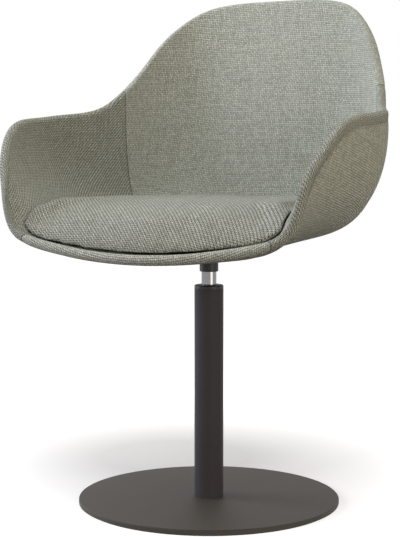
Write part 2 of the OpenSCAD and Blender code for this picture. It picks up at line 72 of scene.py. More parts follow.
# %% [markdown]
# ## One way to add a shader node
# A finish in Blender is a graph of small nodes. One function adds a node, sets its options and
# links its inputs, and a few short ones name the kinds that come back often, so each finish below
# reads as a list of steps. Colours are written as the hex values that a screen shows, and are
# turned into linear light first, because shaders add light.

# %% Helpers for colours and nodes
def linear(hex_colour):
    """The linear RGBA of an sRGB hex colour: each channel is divided by 12.92 near black, and else
    raised to the power 2.4 after the usual offset."""
    channels = np.array([int(hex_colour[i : i + 2], 16) / 255 for i in (1, 3, 5)])
    straight = channels <= 0.04045
    return (*np.where(straight, channels / 12.92, ((channels + 0.055) / 1.055) ** 2.4).tolist(), 1)


def add(tree, kind, inputs=(), **options):
    """Adds one shader node of a kind to a tree. An input takes a plain value, an output to link,
    or another node, which stands for its first output."""
    made = tree.nodes.new("ShaderNode" + kind)
    for option, value in options.items():
        setattr(made, option, value)
    for socket, value in dict(inputs).items():
        if isinstance(value, bpy.types.Node):
            value = value.outputs[0]
        if isinstance(value, bpy.types.NodeSocket):
            tree.links.new(value, made.inputs[socket])
        else:
            made.inputs[socket].default_value = value
    return made


def maths(tree, operation, *values):
    """One step of arithmetic."""
    return add(tree, "Math", dict(enumerate(values)), operation=operation)


def remap(tree, value, low, high, start=0.0, end=1.0):
    """Carries a value that runs from start to end to one from low to high, and holds it there."""
    return add(tree, "MapRange", {0: value, 1: start, 2: end, 3: low, 4: high})


def blend(tree, share, first, second):
    """The colour between two, by a share from 0 to 1. Each is a hex value or an output."""
    first, second = (linear(c) if isinstance(c, str) else c for c in (first, second))
    mixed = add(tree, "Mix", {0: share, 6: first, 7: second}, data_type="RGBA")
    return mixed.outputs[2]


def noise(tree, place, scale, detail, **inputs):
    """Smooth noise of a scale per metre, or per unit of the place that it is given."""
    return add(tree, "TexNoise", {"Vector": place, "Scale": scale, "Detail": detail, **inputs})


def object_place(tree):
    """Where a point of the surface lies on its own object, in metres."""
    return add(tree, "TexCoord").outputs["Object"]


def bumps(tree, height, strength, depth):
    """A surface's direction, tilted by a height that stands for a depth in metres."""
    return add(tree, "Bump", {"Height": height, "Strength": strength, "Distance": depth})


def new_material(name):
    """An empty material and its node tree."""
    material = bpy.data.materials.new(name)
    material.use_nodes = True
    material.node_tree.nodes.clear()
    return material, material.node_tree


def finish_surface(tree, sockets):
    """Ends a material with a principled shader, from the values and links of its sockets."""
    shader = add(tree, "BsdfPrincipled", sockets)
    add(tree, "OutputMaterial", {"Surface": shader})


# %% [markdown]
# ## Floor, sky and lamps
# The chair was photographed as a cut-out on white, with a faint shadow behind the base. Camera and
# mirror rays see a floor of paper that is lifted to white by a little light of its own. Behind the
# base that light is weaker, so the floor is darker there: partly the chair's real shadow, and
# partly a painted shadow from the weaker glow. Other rays meet a dark floor, because the chair gets
# little light from below, and a weak warm sky. Four soft lamps light the chair: a key at the left,
# where the shading says that the main light was, a small one in front, one above, and a warm fill
# at the right.

# %% Stage
floor_half = 6.0
floor_mesh = bpy.data.meshes.new("floor")
floor_mesh.from_pydata(
    [(x * floor_half, y * floor_half, 0) for x, y in ((-1, -1), (1, -1), (1, 1), (-1, 1))],
    [], [(0, 1, 2, 3)])
floor = bpy.data.objects.new("floor", floor_mesh)
scene.collection.objects.link(floor)


def seen_directly(tree):
    """One for a ray from the camera, a mirror or a glass, and nothing for any other."""
    path = add(tree, "LightPath").outputs
    either = maths(tree, "MAXIMUM", path["Is Camera Ray"], path["Is Glossy Ray"])
    return maths(tree, "MAXIMUM", either, path["Is Transmission Ray"])


shadow_middle, shadow_core, shadow_end, core_lift = (-0.21, 0.27, 0), 0.14, 0.62, 0.28
floor_paper, tree = new_material("matt white paper")
seen = seen_directly(tree)
paper = add(tree, "BsdfDiffuse", {"Color": blend(tree, seen, "#4C4A46", "#C4C4C4")})
# Painted shadow: the glow is weakest around shadow_middle, which darkens the floor there on top of
# the chair's real shadow.
from_shadow = add(
    tree, "VectorMath", {0: object_place(tree), 1: shadow_middle}, operation="DISTANCE")
shade_room = remap(tree, from_shadow.outputs["Value"], core_lift, 1.0, shadow_core, shadow_end)
glow = add(tree, "Emission", {"Strength": maths(tree, "MULTIPLY", seen, shade_room)})
both = add(tree, "AddShader", {0: paper, 1: glow})
add(tree, "OutputMaterial", {"Surface": both})
floor_mesh.materials.append(floor_paper)

world = bpy.data.worlds.new("studio")
world.use_nodes = True
scene.world = world
tree = world.node_tree
tree.nodes.clear()
seen = seen_directly(tree)
sky = add(tree, "Background", {
    "Color": blend(tree, seen, "#FFE0C4", "#FFFFFF"), "Strength": remap(tree, seen, 0.17, 1.0)})
add(tree, "OutputWorld", {"Surface": sky})


def add_lamp(name, place, size, watts, hex_colour):
    """A square soft lamp at a place, turned so that it faces the middle of the seat."""
    data = bpy.data.lights.new(name, "AREA")
    data.size, data.energy, data.color = size, watts, linear(hex_colour)[:3]
    lamp = bpy.data.objects.new(name, data)
    lamp.location = place
    away = np.array(place, float) - seat_middle
    tilt = np.arctan2(np.hypot(away[0], away[1]), away[2])
    lamp.rotation_euler = (tilt, 0, np.arctan2(away[0], -away[1]))
    scene.collection.objects.link(lamp)


seat_middle = np.array([0, 0, 0.5])
add_lamp("key_lamp", (-2.4, -0.6, 1.3), 1.6, 63, "#F0F3FF")
add_lamp("front_lamp", (-0.5, -2.3, 0.9), 0.3, 8, "#FFFFFF")
add_lamp("top_lamp", (-0.3, -0.1, 2.6), 1.3, 25, "#FBFFFB")
add_lamp("right_lamp", (2.2, -0.9, 0.7), 1.4, 22, "#FFF5DF")

# %% [markdown]
# ## The shape of the tub
# The tub is a moulded shell. Its rim is a line through a few stations around the chair, and at
# each station the wall drops from the rim to a round flat landing along one smooth curve. The
# tables are the ones that the CAD uses, so that the covers lie where the solids are. Each row of
# the first table places the rim, and each row of the second says how the wall leaves the rim and
# meets the landing.

# %% Tables of the tub
half_width, back_reach, front_reach = 300, 272, 242
pan_height, arm_rise, back_rise, lip_drop, pan_radius = 424.5, 207, 416, 7.5, 95
rim_shares = np.array([
    [0, 1, 1, 1], [0.42, 0.98, 1, 0.955], [0.64, 0.89, 1, 0.71], [0.775, 0.785, 1, 0.34],
    [0.875, 0.645, 1, 0.08], [1, 0.435, 1, 0], [0.96, 0.205, 0.92, 0], [0.875, 0.08, 0.6, 0],
    [0.775, 0.045, 0.19, 0], [0.455, 0.02, 0.05, 0], [0, 0, 0, 0]])
wall_shares = np.array([
    [0, 14, 0.74, 0.56, 19], [0.06, 13, 0.79, 0.57, 19], [0.18, 4, 0.87, 0.59, 20],
    [0.32, 0, 0.88, 0.6, 21], [0.45, -1, 0.74, 0.55, 22], [0.52, -2, 0.6, 0.42, 22],
    [0.56, 2, 0.54, 0.39, 19], [0.68, 19, 0.44, 0.37, 15], [0.845, 59, 0.36, 0.36, 11],
    [0.94, 75, 0.31, 0.35, 8], [1, 83, 0.31, 0.34, 8]])
columns_per_span = 3
half_columns = columns_per_span * (len(rim_shares) - 1)
all_columns = 2 * half_columns


def through_stations(table, odd, first=None, last=None):
    """Values between stations: a cubic through each pair, whose slopes come from their neighbours.
    Beyond both ends the table is mirrored, with the sign of the odd entries turned."""
    before = table[1] * odd if first is None else first
    after = table[-2] * odd if last is None else last
    padded_table = np.vstack([before, table, after])
    place = np.arange(half_columns + 1) / columns_per_span
    start = np.minimum(place.astype(int), len(table) - 2)
    t = (place - start)[:, None]
    a, b, c, d = (padded_table[start + k] for k in range(4))
    square, cube = 2 * a - 5 * b + 4 * c - d, 3 * b - a - 3 * c + d
    return (2 * b + (c - a) * t + square * t**2 + cube * t**3) / 2


def wall_curves():
    """The four control points of the wall's curve at each column, as an array of columns by 4 by 3.
    The second point lies below the rim along its lean, the third outwards from the landing along
    its rise, and the far half of the chair mirrors the near one."""
    rim_at = through_stations(rim_shares, np.array([-1, 1, 1, 1]))
    even = np.ones(5)
    before, after = wall_shares[1] * even, wall_shares[-2] * even
    before[0], after[0] = -before[0], 2 - after[0]
    wall = through_stations(wall_shares, even, before, after)
    height = pan_height - lip_drop + rim_at[:, 2] * (arm_rise + lip_drop)
    height = height + rim_at[:, 3] * (back_rise - arm_rise)
    depth = -front_reach + rim_at[:, 1] * (back_reach + front_reach)
    rim = np.column_stack([rim_at[:, 0] * half_width, depth, height])
    landing, lean, rise = np.pi * wall[:, 0], np.radians(wall[:, 1]), np.radians(wall[:, 4])
    level = np.full_like(landing, pan_height)
    foot = np.column_stack([pan_radius * np.sin(landing), pan_radius * np.cos(landing), level])
    run = np.linalg.norm((rim - foot)[:, :2], axis=1)
    out = (rim - foot)[:, :2] / run[:, None]
    span = np.linalg.norm(rim - foot, axis=1)
    drop = np.column_stack([out * np.sin(lean)[:, None], np.cos(lean)])
    climb = np.column_stack([out * np.cos(rise)[:, None], np.sin(rise)])
    below_rim = rim - (wall[:, 2] * span)[:, None] * drop
    before_foot = foot + (wall[:, 3] * run)[:, None] * climb
    half = np.stack([rim, below_rim, before_foot, foot], 1)
    return np.concatenate([half, half[-2:0:-1] * [-1, 1, 1]])


def smooth_round(values):
    """Coefficients of the smooth closed spline through evenly spaced values. Each value is two
    thirds of its own coefficient and a sixth of each neighbour's. A Fourier transform undoes it."""
    turn = 2 * np.pi * np.arange(len(values)) / len(values)
    weight = ((4 + 2 * np.cos(turn)) / 6).reshape(-1, 1, 1)
    return np.fft.ifft(np.fft.fft(values, axis=0) / weight, axis=0).real


tub_spline = smooth_round(wall_curves())
print("columns of the tub:", len(tub_spline))

# %% [markdown]
# Every layer of the tub lies at some distance from the shell's middle surface. One function finds
# that surface and its outward direction for any column and any share of the way down the wall.
# Another lays a layer around it: down the inside, over the rim in a half circle and down the
# outside.

# %% Surfaces of the tub
flat_from = 0.88


def near_columns(spline, columns):
    """The four coefficients of a closed spline around each column, the way from the second to the
    third as a share, and the weight of each in the blend."""
    cell = np.floor(columns).astype(int)
    f = (columns - cell)[..., None, None]
    near = [spline[(cell - 1 + k) % all_columns] for k in range(4)]
    weights = (
        (1 - f) ** 3 / 6, (3 * f**3 - 6 * f**2 + 4) / 6, (-3 * f**3 + 3 * f**2 + 3 * f + 1) / 6,
        f**3 / 6)
    return near, f, weights


def middle_surface(columns, shares):
    """Points, outward normals and the upward direction at the rim, for columns around the tub and
    shares down the wall. The spline blends four neighbouring curves, and the curve blends its four
    control points. The normal is the cross product of the two slopes, and turns straight down
    towards the flat landing."""
    near, f, weights = near_columns(tub_spline, columns)
    slopes = (-((1 - f) ** 2) / 2, (3 * f**2 - 4 * f) / 2, (-3 * f**2 + 2 * f + 1) / 2, f**2 / 2)
    curve = sum(w * c for w, c in zip(weights, near))
    curve_slope = sum(w * c for w, c in zip(slopes, near))
    t = np.asarray(shares)[..., None]
    shape = ((1 - t) ** 3, 3 * (1 - t) ** 2 * t, 3 * (1 - t) * t**2, t**3)
    steps = ((1 - t) ** 2, 2 * (1 - t) * t, t**2)
    point = sum(b * curve[..., k, :] for k, b in enumerate(shape))
    along = sum(b * curve_slope[..., k, :] for k, b in enumerate(shape))
    down = sum(b * (curve[..., k + 1, :] - curve[..., k, :]) for k, b in enumerate(steps))
    normal = np.cross(along, down)
    normal /= np.linalg.norm(normal, axis=-1, keepdims=True)
    flat = np.clip((t - flat_from) / (1 - flat_from), 0, 1)
    normal = (1 - flat) * normal + flat * np.array([0, 0, -1.0])
    normal /= np.linalg.norm(normal, axis=-1, keepdims=True)
    down /= np.linalg.norm(down, axis=-1, keepdims=True)
    up = -down + (down * normal).sum(-1, keepdims=True) * normal
    return point, normal, up / np.linalg.norm(up, axis=-1, keepdims=True)


def layer(columns, shares, angles, distance):
    """Points at a distance from the middle surface. The angle is 0 on the outside, 180 degrees on
    the inside, and runs between them over the rim."""
    point, normal, up = middle_surface(columns, shares)
    way = np.cos(angles)[..., None] * normal + np.sin(angles)[..., None] * up
    return point + np.asarray(distance)[..., None] * way


cover_out, cover_in, body_out, foam_out = 7.0, 5.8, 5.5, 0.2
rim_points = middle_surface(np.arange(all_columns + 1), 0)[0]
rim_length = np.linalg.norm(np.diff(rim_points, axis=0), axis=1).sum()
print("length of the rim in mm:", round(rim_length))

# %% [markdown]
# ## Turning grids into meshes
# A panel of cloth is a grid of points and a second grid just under it, joined along the edges
# into a thin closed solid. The signed volume tells which way round the faces are, and they are
# turned outwards together. A map on the mesh carries the cloth's own threads, in metres along and
# across the piece, so a weave keeps its size on any curve.

# %% Helpers for meshes
def grid_faces(rows, columns, start=0, closed=False):
    """The quads between neighbouring points of a grid, as an array of four corners each."""
    last = columns if closed else columns - 1
    j, i = np.meshgrid(np.arange(rows - 1), np.arange(last), indexing="ij")
    a = start + j * columns + i
    b = start + j * columns + (i + 1) % columns
    return np.stack([a, b, b + columns, a + columns], -1).reshape(-1, 4)


def add_value(mesh, name, values):
    """A number for each point of a mesh, which a finish can read by its name."""
    values = np.broadcast_to(values, len(mesh.vertices)).astype(np.float32)
    mesh.attributes.new(name, "FLOAT", "POINT").data.foreach_set("value", values)


def add_threads(mesh, threads):
    """The map of the cloth's threads, from a place in mm for each point of a mesh."""
    corners = np.empty(len(mesh.loops), np.int32)
    mesh.loops.foreach_get("vertex_index", corners)
    places = (threads[corners] * MM).astype(np.float32).ravel()
    mesh.uv_layers.new(name="threads").data.foreach_set("uv", places)


def make_piece(name, points, quads, triangles=(), threads=None, values=()):
    """A smooth closed mesh in metres from points in mm. Its signed volume is negative where the
    faces look inwards, and they are turned then."""
    quads = np.asarray(quads, int).reshape(-1, 4)
    triangles = np.asarray(triangles, int).reshape(-1, 3)
    split = np.concatenate([quads[:, [0, 1, 2]], quads[:, [0, 2, 3]], triangles])
    p, q, r = (points[split[:, k]] for k in range(3))
    if (p * np.cross(q, r)).sum() < 0:
        quads, triangles = quads[:, ::-1], triangles[:, ::-1]
    mesh = bpy.data.meshes.new(name)
    mesh.from_pydata((points * MM).tolist(), [], quads.tolist() + triangles.tolist())
    mesh.shade_smooth()
    if threads is not None:
        add_threads(mesh, threads)
    for value_name, value in dict(values).items():
        add_value(mesh, value_name, value)
    piece = bpy.data.objects.new(name, mesh)
    scene.collection.objects.link(piece)
    print(f"{name}: {len(mesh.vertices)} points, {len(mesh.polygons)} faces")
    return piece


def travelled(points, axis):
    """The distance travelled along one axis of a grid of points, from its first row or column."""
    steps = np.linalg.norm(np.diff(points, axis=axis), axis=-1)
    start = np.zeros_like(steps[:1] if axis == 0 else steps[:, :1])
    return np.concatenate([start, np.cumsum(steps, axis=axis)], axis=axis)


# %% [markdown]
# ## The covers of the tub
# The inner panels of the cover wrap over the rim and are joined to the outer ones by a seam just
# below it. Each seam draws the cloth in, so the panels swell a little between seams and roll over
# at their edges. Two rows of stitches run beside the outer seam and press a shallow channel in.

# %% Where the seams run
roll, swell, settle = 1.6, 0.9, 12.0
back_seam, lip_seam = 10, 25
seam_below_rim, seam_below_lip, step_start, step_width = 10, 20, 9, 4
fine_steps = np.array([0, 0.3, 0.7, 1.2, 1.7, 2.2, 2.7, 3.2, 3.7, 4.3, 5.2, 6.6, 8.6, 11.5])
coarse_step = 6


def spread(length):
    """Shares from 0 to 1 of a length in mm, finely spaced at both ends and even between."""
    count = max(int((length - 2 * fine_steps[-1]) / coarse_step), 2)
    inner = np.linspace(fine_steps[-1], length - fine_steps[-1], count + 1)
    return np.concatenate([fine_steps[:-1], inner, length - fine_steps[-2::-1]]) / length


def columns_between(first, last):
    """Columns from one seam to the next, finely spaced beside both."""
    return first + (last - first) * spread((last - first) * rim_length / all_columns)


def from_lip(columns):
    """How many columns lie between a place on the rim and the middle of the front lip."""
    return np.abs((columns % all_columns) - half_columns)


def smooth_step(way):
    """Runs from 0 to 1 with level ends: three times the square less twice the cube."""
    step = np.clip(way, 0, 1)
    return step**2 * (3 - 2 * step)


def outer_seam_depth(columns):
    """How far below the rim the outer seam runs: 10 mm, and 20 mm below the front lip. A smooth
    step joins the two between the ninth and the fifth column from the middle of the lip."""
    drop = smooth_step((step_start - from_lip(columns)) / step_width)
    return seam_below_rim + (seam_below_lip - seam_below_rim) * drop


def outer_seam_share(columns):
    """The share down the wall at which the outer seam lies: its depth over the wall's slope."""
    first_bit = 0.01
    top, below = (middle_surface(columns, share)[0] for share in (0, first_bit))
    return first_bit * outer_seam_depth(columns) / np.linalg.norm(below - top, axis=-1)


print("depth of the outer seam in mm:", outer_seam_depth(np.array([0.0, 15, 25, 30])))

# %% [markdown]
# One function makes every panel. The cloth's height follows from the distance to the panel's
# edges: a quarter circle at the edge, then a slow swell, less the channels of the stitches. The
# threads of a flat-cut panel run straight and level across the chair and don't follow the rim.
# Three numbers say how a panel's cloth lies: the angle at which it was cut, minus one where it was
# turned to its mirror image, and how far it is pulled slantwise, which raises its diagonals. The
# third also sets how deep the painted shade between the yarns is, which stands for how the light
# falls on that panel. The facing along an arm's front edge is a strip of its own, and its threads
# follow the rim.

# %% A panel of stretched cloth
channel_depth, channel_half, stitch_line = 0.7, 0.9, 3.2
seam_shade_width, outer_seam_shade = 1.0, 0.35
weak_seam, weak_until, weak_fade = 0.3, 9, 5
facing_depth, facing_half, facing_end, facing_fade = 0.9, 0.8, 11.5, 12
facing_inside, facing_inside_lip = 5, 9
arm_fineness = 1.2
backing_gap = 0.1


def facing_place(away):
    """How far inside the rim's curve the facing's seam lies: 5 mm, and 9 mm near the lip."""
    near_lip = np.clip((step_start - away) / step_width, 0, 1)
    return facing_inside + (facing_inside_lip - facing_inside) * near_lip


def seam_mark(columns):
    """How strongly the outer seam draws the cloth in: fully along the back and the arms' tops, and
    a third as much where they slope down, since the cloth rolls over smoothly there."""
    return weak_seam + (1 - weak_seam) * smooth_step((from_lip(columns) - weak_until) / weak_fade)


def roundness(way):
    """The height of a quarter circle of the roll's radius, as a share, at a way in from an edge."""
    return np.sqrt(1 - (1 - np.clip(way / roll, 0, 1)) ** 2)


def bell(way, half):
    """A bell of height 1: e to the power of minus the square of the way over its half width."""
    return np.exp(-((way / half) ** 2))


def turned(threads, degrees):
    """Places on a cloth map, turned by an angle."""
    sine, cosine = np.sin(np.radians(degrees)), np.cos(np.radians(degrees))
    return threads @ np.array([[cosine, -sine], [sine, cosine]])


def lay_flat(base, rim_row, is_arm):
    """The threads of a panel in mm, level across the chair. The way down is the drop of the rim
    plus the distance along the wall. The way across is the level distance around the tub. An arm
    is nearly flat, so there the way across is the place between front and back, and the distance
    along the wall leaves that out."""
    wall = travelled(base * ([1, 0, 1] if is_arm else 1), 0)
    drop = base[rim_row, :, 2].max() - base[rim_row, :, 2]
    down = drop + (wall[rim_row] - wall if rim_row else wall)
    around = travelled(base * [1, 1, 0], 1)
    across = base[..., 1] if is_arm else around - around[:, base.shape[1] // 2, None]
    return np.stack([across, down], -1)


def lay_facing(base, rim_row, start):
    """The threads of an arm's facing in mm: the way along the rim from a starting column, and the
    way over the rim."""
    along, over = travelled(base, 1)[rim_row], travelled(base, 0)
    heading = np.sign(base[rim_row, -1, 1] - base[rim_row, 0, 1])
    drop = base[rim_row, :, 2].max() - base[rim_row, start, 2]
    across = base[rim_row, start, 1] + heading * (along - along[start])
    return np.stack([np.broadcast_to(across, over.shape), drop + over[rim_row] - over], -1)


def closed_sheet(outer, inner):
    """The points and quads of a thin closed solid between two grids of points."""
    rows, count = outer.shape[:2]
    size = rows * count
    index = np.arange(size).reshape(rows, count)
    border = np.concatenate([index[0], index[1:, -1], index[-1, -2::-1], index[-2:0:-1, 0]])
    following = np.roll(border, -1)
    edge = np.stack([border, border + size, following + size, following], -1)
    backs = grid_faces(rows, count, size)[:, ::-1]
    points = np.concatenate([outer.reshape(-1, 3), inner.reshape(-1, 3)])
    return points, np.concatenate([grid_faces(rows, count), backs, edge])


def panel(name, columns, shares, angles, lay, facing=False):
    """A thin closed panel over a grid: shares has a row per step of the path and a column per
    place around the tub, and angles one value per row. The stitches press a bell-shaped channel
    in along the outer seam. A facing adds one along its own seam."""
    turn = angles[:, None]
    base = layer(columns, shares, turn, cover_out)
    across, down = travelled(base, 1), travelled(base, 0)
    is_inner = angles[0] > 0
    to_end = down[-1:] - down
    from_seam, other_end = (to_end, down) if is_inner else (down, to_end)
    to_side = np.minimum(across, across[:, -1:] - across)
    nearest = np.minimum(to_side, other_end)
    mark = seam_mark(columns)
    rise = np.minimum(roundness(nearest), 1 - mark * (1 - roundness(from_seam)))
    sink = np.maximum(np.exp(-nearest / settle), mark * np.exp(-from_seam / settle))
    raised = cover_in + (cover_out - cover_in) * rise + swell * (1 - sink)
    raised -= channel_depth * mark * bell(from_seam - stitch_line, channel_half)
    rim_row = int(np.argmax(angles <= np.pi / 2)) if is_inner else 0
    threads = lay_flat(base, rim_row, "arm" in name or "side" in name)
    if facing:
        from_rim = down[np.argmax(angles < np.pi)] - down
        away = from_lip(columns)
        place = facing_place(away)
        sewn = np.clip(facing_fade - away, 0, 1)
        raised -= facing_depth * sewn * bell(from_rim - place, facing_half)
        on_facing = (from_rim < place) & (away < facing_end)
        start = int(np.argmin(np.abs(away - facing_end)))
        threads[on_facing] = lay_facing(base, rim_row, start)[on_facing]
    backing = layer(columns, shares, turn, cover_in - backing_gap)
    points, quads = closed_sheet(layer(columns, shares, turn, raised), backing)
    cut, mirror, pull = lay
    fine = arm_fineness if facing else 1
    threads = turned(threads.reshape(-1, 2) * [mirror, 1], cut) * fine
    # Painted shade along the seams: full beside the side seams, and at the outer seam scaled by
    # outer_seam_shade and the seam's mark.
    at_side, at_seam = bell(to_side, seam_shade_width), bell(from_seam, seam_shade_width)
    shade = np.maximum(at_side, outer_seam_shade * mark * at_seam).ravel()
    values = {"seam_shade": np.tile(shade, 2), "pull": pull}
    return make_piece(name, points, quads, (), np.tile(threads, (2, 1)), values)


# %% [markdown]
# ### Inner panels, over the rim
# An inner panel starts under the cushion, climbs the inside of the tub, goes over the rim and ends
# at the outer seam. All are cut straight, with one set of yarns level. On the real chair a facing
# is sewn along the front edge of each arm, and its seam shows as a line just inside the rim.

# %% Inner panels
lining_share, wall_length = 0.75, 330
inside_shares = lining_share * (1 - spread(wall_length))[:-1]
over_rim = np.radians(np.linspace(180, 0, 15))
to_seam = 1 - fine_steps[-2::-1] / fine_steps[-1]
inside_angles = np.full(len(inside_shares), np.pi)
inner_angles = np.concatenate([inside_angles, over_rim, np.zeros(len(to_seam))])


def inner_shares(columns):
    """Shares of an inner panel's rows: from the lining up to the rim, none over the rim, and down
    the outside to the seam."""
    wall = np.repeat(inside_shares[:, None], len(columns), 1)
    rim = np.zeros((len(over_rim), len(columns)))
    return np.concatenate([wall, rim, to_seam[:, None] * outer_seam_share(columns)])


back, front = (-back_seam, back_seam), (lip_seam, all_columns - lip_seam)
left, right = (back_seam, lip_seam), (all_columns - lip_seam, all_columns - back_seam)
covers = {}
for name, span, lay in (
        ("inner_back_cover", back, (0, 1, 0.3)), ("inner_arm_cover_left", left, (0, 1, 1)),
        ("inner_arm_cover_right", right, (0, -1, 1)), ("front_lip_cover", front, (0, 1, 0.6))):
    columns = columns_between(*span)
    covers[name] = panel(name, columns, inner_shares(columns), inner_angles, lay, "arm" in name)

# %% [markdown]
# ### Outer panels
# The outer panels run from the outer seam down to the round landing, where the seat plate holds
# the shell. They lie on the bare shell with little padding, so they follow its curve closely.

# %% Outer panels
for name, span, lay in (
        ("outer_back_cover", back, (0, 1, 0.3)), ("outer_side_cover_left", left, (15, 1, 0.2)),
        ("outer_side_cover_right", right, (15, -1, 0.2)), ("underside_cover", front, (0, 1, 0.2))):
    columns = columns_between(*span)
    start = outer_seam_share(columns)
    shares = start + (1 - start) * spread(wall_length)[:, None]
    covers[name] = panel(name, columns, shares, np.zeros(len(shares)), lay)

# %% [markdown]
# ### Foam and lining
# Under the cover lies a sheet of moulded foam that wraps over the shell's edge, and a plain lining
# closes the pan below the cushion. Each is a stack of rings, closed at both ends by a fan of
# triangles.

# %% Closed layers of the tub
def stack(name, rings):
    """A closed form from rings of equally many points, with both ends closed to their middles."""
    rings = np.asarray(rings)
    rows, count = rings.shape[:2]
    quads = grid_faces(rows, count, closed=True)
    ends = np.stack([rings[0].mean(0), rings[-1].mean(0)])
    first = np.arange(count)
    following = (first + 1) % count
    last = (rows - 1) * count
    tip = rows * count
    triangles = np.concatenate([
        np.stack([following, first, np.full(count, tip)], -1),
        np.stack([last + first, last + following, np.full(count, tip + 1)], -1)])
    points = np.concatenate([rings.reshape(-1, 3), ends])
    return make_piece(name, points, quads, triangles, points[:, :2])


lining_tuck = 0.003
ring_columns = np.arange(0, all_columns, 0.25)


def ring_layer(shares, angle, distance):
    """Rings at a constant distance from the middle surface, one for each share or angle."""
    return layer(ring_columns, np.reshape(shares, (-1, 1)), angle, distance)


wall_steps = np.linspace(0, 1, 45)
foam_rings = np.concatenate([
    ring_layer(wall_steps[::-1], np.pi, body_out), ring_layer(0, over_rim[1:, None], body_out),
    ring_layer(wall_steps, 0, foam_out)])
foam_padding = stack("foam_padding", foam_rings)
lining_steps = np.linspace(lining_share + lining_tuck, 1, 16)
lining_rings = np.concatenate([
    ring_layer(lining_steps[::-1], np.pi, cover_out), ring_layer(lining_steps, np.pi, cover_in)])
lining_cover = stack("lining_cover", lining_rings)

# %% [markdown]
# ## The loose cushion
# The cushion is a block of foam and wadding in a sewn cover. Its plan follows the tub, its top is
# crowned, and its front rolls down to a thin dark gap above the lip. It starts as rings, whose
# height falls from the crown to the edge as the square root of one less a power of the reach. A
# cloth simulation with a little pressure then fills it out.

# %% The cushion before it is filled
crown_height, edge_gap, pan_gap, cushion_middle_share = 79, 2.2, 3.4, 0.47
crown_rows, rolled_rows, under_rows, start_inset = 22, 16, 24, 4.0
cushion_shares = np.array([
    [0.635, 6], [0.605, 6], [0.515, 6], [0.435, 6], [0.44, 6], [0.465, 6],
    [0.43, 6], [0.24, 5], [0.06, 4], [0.02, 3.6], [0.02, 3.5]])
half_at = through_stations(cushion_shares, np.ones(2))
cushion_spline = smooth_round(np.concatenate([half_at, half_at[-2:0:-1]])[:, None, :])
near, _, weights = near_columns(cushion_spline, ring_columns)
edge_share, power = sum(w * c for w, c in zip(weights, near))[:, 0].T
crown_z = pan_height + crown_height
middle_xy = np.array([0, -front_reach + cushion_middle_share * (back_reach + front_reach)])


def under_ring(share, inset):
    """A ring of the underside: the tub's inside, less a gap that widens towards the landing."""
    down = edge_share + (1 - edge_share) * share
    gap = edge_gap + (pan_gap - edge_gap) * share + inset
    return layer(ring_columns, down, np.pi, cover_out + gap)


def cushion_rings(inset):
    """All rings of the cushion, drawn in by an inset in mm: crown, rolled edge, underside."""
    edge = under_ring(0, inset)
    top = crown_z - inset

    def crown_ring(reach):
        height = np.sqrt(np.clip(1 - reach**power, 0, 1))
        flat = middle_xy + (edge[:, :2] - middle_xy) * np.asarray(reach)[..., None]
        return np.column_stack([flat, edge[:, 2] + (top - edge[:, 2]) * height])

    heights = np.sin(np.radians(np.linspace(78, 4, rolled_rows)))
    edge_reach = (1 - heights[0] ** 2) ** (1 / power)
    crown = [crown_ring(share * edge_reach) for share in np.linspace(0.04, 0.96, crown_rows)]
    rolled = [crown_ring((1 - h**2) ** (1 / power)) for h in heights]
    under = [under_ring(share, inset) for share in np.linspace(0, 1, under_rows)]
    return np.array(crown + rolled + under)


cushion = stack("cushion_form", cushion_rings(start_inset))
full_cushion = cushion_rings(0.0)
print("cushion in mm:", np.round(np.ptp(full_cushion, axis=(0, 1))))

# %% [markdown]
# An even voxel mesh first gives the cloth square cells. The form starts 4 mm too small, so that it
# swells into its place, and no point may move further than to the tub's cover at the sides and
# below. On the crown it may rise a few millimetres more, as wadding does under a sewn cover.

# %% Fill the cushion
voxel, pressure, last_frame = 0.005, 4.0, 20
crown_extra, room_kept, seam_reach = 3.0, 0.3, 14


def baked(piece):
    """The mesh of a piece with its modifiers worked out."""
    graph = bpy.context.evaluated_depsgraph_get()
    return bpy.data.meshes.new_from_object(piece.evaluated_get(graph))


def positions(mesh, kind="co"):
    """The points of a mesh in metres, or its normals, as rows of three numbers."""
    flat = np.empty(len(mesh.vertices) * 3)
    mesh.vertices.foreach_get(kind, flat)
    return flat.reshape(-1, 3)


def take_mesh(piece, mesh):
    """Gives a piece a new mesh and leaves it without modifiers."""
    piece.modifiers.clear()
    piece.data = mesh


def fill(piece):
    """Fills a closed form with a cloth simulation. Each point then moves at most by its limit:
    the start's inset, and more where the form faces up."""
    remesh = piece.modifiers.new("even cells", "REMESH")
    remesh.mode, remesh.voxel_size = "VOXEL", voxel
    take_mesh(piece, baked(piece))
    start = positions(piece.data)
    upward = np.clip(positions(piece.data, "normal")[:, 2] * 2 - 0.6, 0, 1)
    cloth = piece.modifiers.new("cloth", "CLOTH")
    cloth.settings.use_pressure = True
    cloth.settings.uniform_pressure_force = pressure
    cloth.settings.effector_weights.gravity = 0
    cloth.point_cache.frame_start, cloth.point_cache.frame_end = 1, last_frame
    for frame_number in range(1, last_frame + 1):
        scene.frame_set(frame_number)
    filled = baked(piece)
    moved = positions(filled) - start
    distance = np.linalg.norm(moved, axis=1, keepdims=True)
    limit = ((start_inset - room_kept + crown_extra * upward) * MM)[:, None]
    moved *= np.minimum(1, limit / np.maximum(distance, 1e-9))
    filled.vertices.foreach_set("co", (start + moved).ravel())
    take_mesh(piece, filled)
    scene.frame_set(1)
    print("the cushion moved by up to, mm:", (np.linalg.norm(moved, axis=1).max() / MM).round(2))


